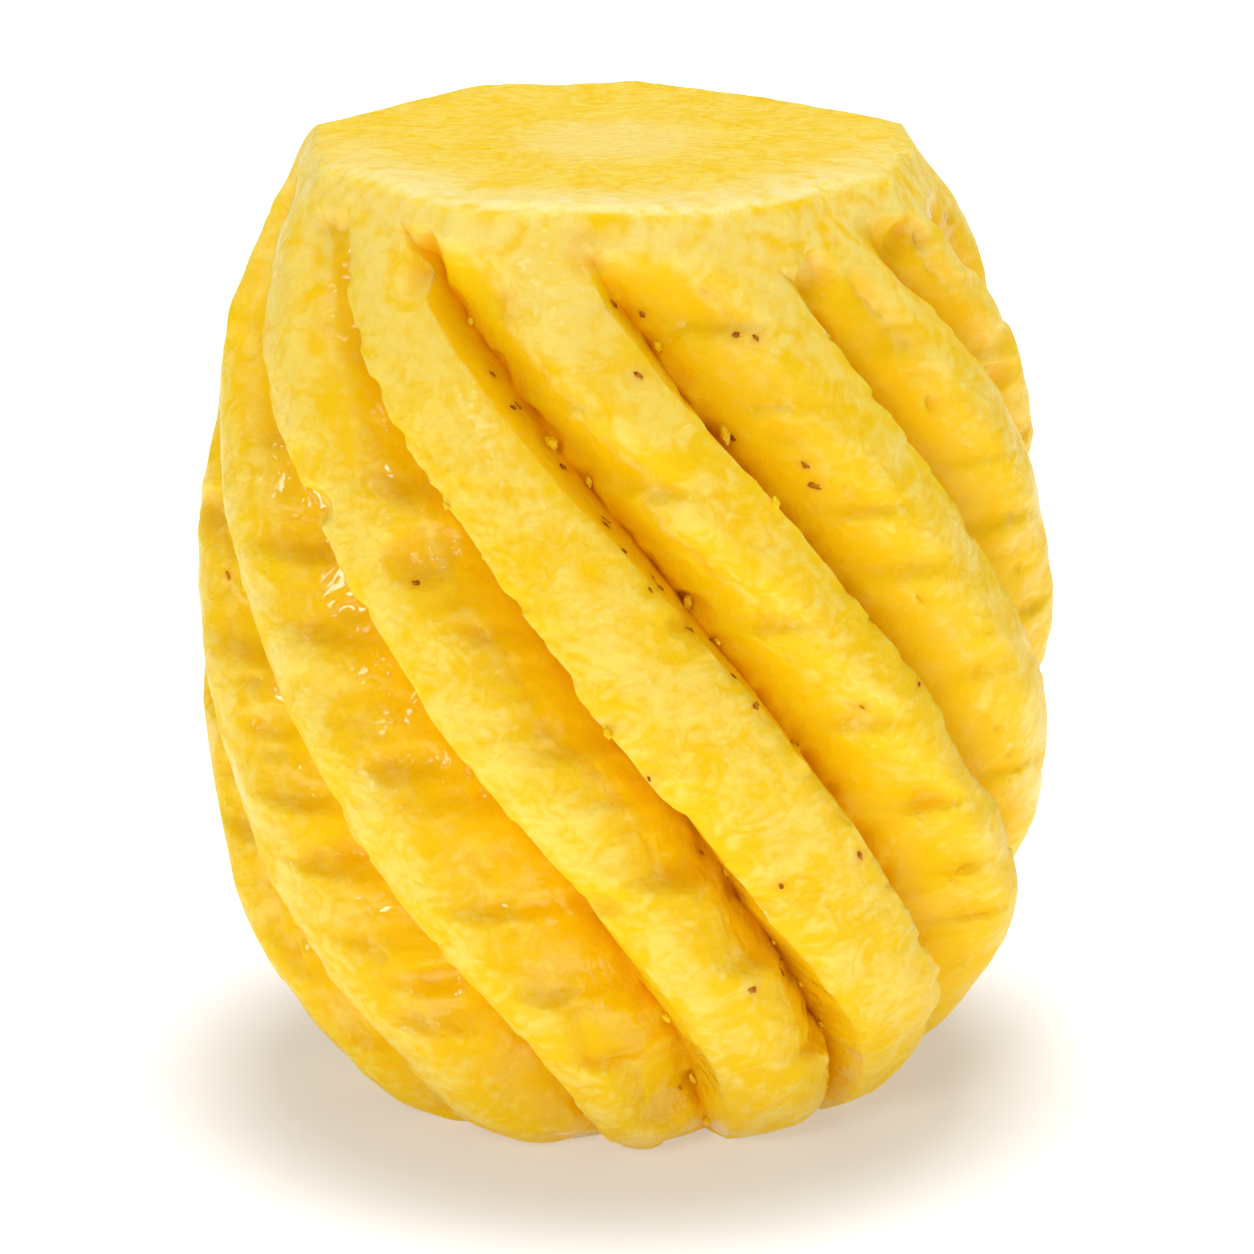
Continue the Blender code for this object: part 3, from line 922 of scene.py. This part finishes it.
def makeSpecks(tree, lines):
    chance = Random(specks["seed"])
    places = [seenPlace(tree, pixel) for pixel in specks["seenPixels"]]
    places = [place for place in places if place[0]]
    seenCount = len(places)
    rows = len(lines) - 1
    spread = specks["spread"]
    for index in range(len(grooves)):
        level = chance.uniform(*specks["firstLevel"])
        while level < grooves[index][7] - specks["belowTop"]:
            deepest = lines[round(level * rows)][index][1]
            place, normal = sidePlace(tree, deepest + chance.uniform(-spread, spread), level)
            if place.y > specks["behind"]:  # those in front are placed by the photo
                places.append((place, normal))
            level += chance.uniform(*specks["gap"])
    mesh = bmesh.new()
    thickness = specks["halfThickness"]
    rough, scale, apart = specks["lump"]
    for place, normal in places:
        size = (chance.uniform(*specks["halfLength"]), chance.uniform(*specks["halfWidth"]), thickness)
        lay = layOn(place, normal, grooveDirection(angleOf(place), chance), thickness * specks["sink"])
        ball = bmesh.ops.create_icosphere(mesh, subdivisions=2, radius=1.0)
        for vertex in ball["verts"]:
            vertex.co *= 1 + rough * noise.noise(vertex.co * scale + place * apart)
            vertex.co = lay @ Vector(part * length for part, length in zip(vertex.co, size))
    finishPiece(mesh, "rindSpecks", speckMaterial())
    print("specks laid:", len(places), "of them seen in the photo:", seenCount)
    return [place for place, normal in places]


# crumbs are thin, so light travels less far in them than in the fruit
def crumbMaterial(material):
    material = material.copy()
    material.name = "fleshCrumb"
    shader = material.node_tree.nodes["Principled BSDF"]
    shader.inputs["Subsurface Scale"].default_value = crumbs["subsurfaceScale"]
    return material


def makeCrumbs(tree, lines, material):
    chance = Random(crumbs["seed"])
    places = [seenPlace(tree, pixel) + (crumbs["seenSize"],) for pixel in crumbs["seenPixels"]]
    places = [place for place in places if place[0]]
    rows = len(lines) - 1
    for index in range(len(grooves)):
        level = chance.uniform(*crumbs["firstLevel"])
        while level < grooves[index][7] - crumbs["belowTop"]:
            deepest = lines[round(level * rows)][index][1]
            angle = deepest + chance.gauss(0, 1) * crumbs["spread"] / 2
            place, normal = sidePlace(tree, angle, level)
            places.append((place, normal, chance.uniform(*crumbs["size"])))
            level += chance.uniform(*crumbs["gap"])
    mesh = bmesh.new()
    layers = {name: mesh.verts.layers.float.new(name) for name in shareNames}
    grainLayer = mesh.verts.layers.float_vector.new("grain")
    scale, apart = crumbs["lump"]
    fineSize, fineScale, fineApart = crumbs["fineLump"]
    for place, normal, size in places:
        scales = [size * chance.uniform(*crumbs[name]) for name in ("length", "width", "thickness")]
        lay = layOn(place, normal, grooveDirection(angleOf(place), chance), size * crumbs["sink"])
        ball = bmesh.ops.create_icosphere(mesh, subdivisions=3, radius=1.0)
        pale = chance.uniform(*crumbs["pale"])
        for vertex in ball["verts"]:
            lump = noise.noise(vertex.co * scale + place * apart)
            lump += fineSize * noise.noise(vertex.co * fineScale + place * fineApart)
            vertex.co *= 1 + crumbs["rough"] * lump
            vertex.co = lay @ Vector(part * length for part, length in zip(vertex.co, scales))
            vertex[layers["pale"]] = pale
            vertex[layers["amber"]] = 1.0 - pale
            vertex[layers["wet"]] = crumbs["wet"]
            vertex[grainLayer] = vertex.co
    finishPiece(mesh, "fleshCrumbs", crumbMaterial(material))
    print("crumbs laid:", len(places))


# turns a mesh into a finished piece of the fruit
def finishPiece(mesh, name, material):
    bmesh.ops.recalc_face_normals(mesh, faces=mesh.faces)
    data = bpy.data.meshes.new(name)
    mesh.to_mesh(data)
    mesh.free()
    data.shade_smooth()
    data.set_sharp_from_angle(angle=radians(fineness["sharpAngle"]))
    data.materials.append(material)
    piece = bpy.data.objects.new(name, data)
    scene.collection.objects.link(piece)
    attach(piece, "root")
    return piece


# browner flesh round each speck
def stainFlesh(fruit, places):
    tree = KDTree(len(places))
    for index, place in enumerate(places):
        tree.insert(place, index)
    tree.balance()
    values = fruit.data.attributes["stain"].data
    reach = specks["stainReach"]
    for vertex in fruit.data.vertices:
        gap = tree.find(vertex.co)[2]
        if gap < 3 * reach:
            values[vertex.index].value = specks["stain"] * exp(-(gap / reach) ** 2)


def makeFruit():
    columns = len(grooves) * (fineness["grooveSteps"] + fineness["landSteps"])
    steps = cutLedges()
    lines = grooveLines(steps)
    mesh = turnBlank(columns)
    print("blank turned:", len(mesh.verts), "points")
    carveFruit(mesh, columns, lines, steps)
    centreOnOrigin(mesh)
    bmesh.ops.recalc_face_normals(mesh, faces=mesh.faces)
    tree = BVHTree.FromBMesh(mesh)
    material = fleshMaterial()
    fruit = finishPiece(mesh, "pineappleFlesh", material)
    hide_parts(nodeName)
    print("fruit carved:", len(fruit.data.polygons), "faces")
    stainFlesh(fruit, makeSpecks(tree, lines))
    makeCrumbs(tree, lines, material)


def lookAt(item, target):
    item.rotation_euler = (Vector(target) - item.location).to_track_quat("-Z", "Y").to_euler()


def makeCamera():
    data = bpy.data.cameras.new("photoCamera")
    data.sensor_width = camera["sensor"]
    data.lens = camera["lens"]
    item = bpy.data.objects.new("photoCamera", data)
    scene.collection.objects.link(item)
    item.location = camera["place"]
    lookAt(item, camera["aim"])
    scene.camera = item
    print("camera placed")


# floor and lights: each light has a name, a place, a size in metres and a power in watts
studio = {
    "world": 0.21,
    "floorSize": 3.0,
    "floorColour": (0.60, 0.60, 0.60, 1),
    "floorRoughness": 0.9,
    # the floor's glow is painted light, low near the fruit as a painted shadow
    "floorGlow": (0.34, 0.95),
    "paintedShadowReach": (0.040, 0.088),
    "lights": (
        ("keyLight", (-0.34, -0.80, 0.52), 0.26, 2.5),
        ("fillLight", (0.55, -0.65, 0.35), 0.6, 0.70),
        ("topLight", (0.05, 0.22, 0.98), 0.6, 7.2),
    ),
}


# a pale floor that glows as painted light: dim near the fruit, a painted shadow round its base, and white
# further away, lighting the fruit from below
def makeFloor():
    mesh = bmesh.new()
    bmesh.ops.create_grid(mesh, x_segments=1, y_segments=1, size=studio["floorSize"])
    data = bpy.data.meshes.new("studioFloor")
    mesh.to_mesh(data)
    mesh.free()
    floor = bpy.data.objects.new("studioFloor", data)
    scene.collection.objects.link(floor)
    material = bpy.data.materials.new("studioFloor")
    material.use_nodes = True
    nodes = material.node_tree.nodes
    link = material.node_tree.links.new
    shader = nodes["Principled BSDF"]
    shader.inputs["Base Color"].default_value = studio["floorColour"]
    shader.inputs["Roughness"].default_value = studio["floorRoughness"]
    shader.inputs["Emission Color"].default_value = (1, 1, 1, 1)
    where = addNode(nodes, "ShaderNodeTexCoord", (-900, 0))
    length = addNode(nodes, "ShaderNodeVectorMath", (-700, 0), operation="LENGTH")
    link(where.outputs["Object"], length.inputs[0])
    glow = addNode(nodes, "ShaderNodeMapRange", (-450, 0), interpolation_type="SMOOTHSTEP")
    ranges = studio["paintedShadowReach"] + studio["floorGlow"]
    for name, value in zip(("From Min", "From Max", "To Min", "To Max"), ranges):
        glow.inputs[name].default_value = value
    link(length.outputs["Value"], glow.inputs["Value"])
    link(glow.outputs["Result"], shader.inputs["Emission Strength"])
    data.materials.append(material)


def makeStudio():
    makeFloor()
    for name, place, size, power in studio["lights"]:
        light = bpy.data.lights.new(name, "AREA")
        light.size = size
        light.energy = power
        item = bpy.data.objects.new(name, light)
        scene.collection.objects.link(item)
        item.location = place
        lookAt(item, (0, 0, form["height"] / 2))
    world = bpy.data.worlds.new("studioWorld")
    world.use_nodes = True
    world.node_tree.nodes["Background"].inputs["Color"].default_value = (1, 1, 1, 1)
    world.node_tree.nodes["Background"].inputs["Strength"].default_value = studio["world"]
    scene.world = world
    scene.view_settings.view_transform = "Standard"
    print("studio lit")


makeCamera()
makeStudio()
makeFruit()
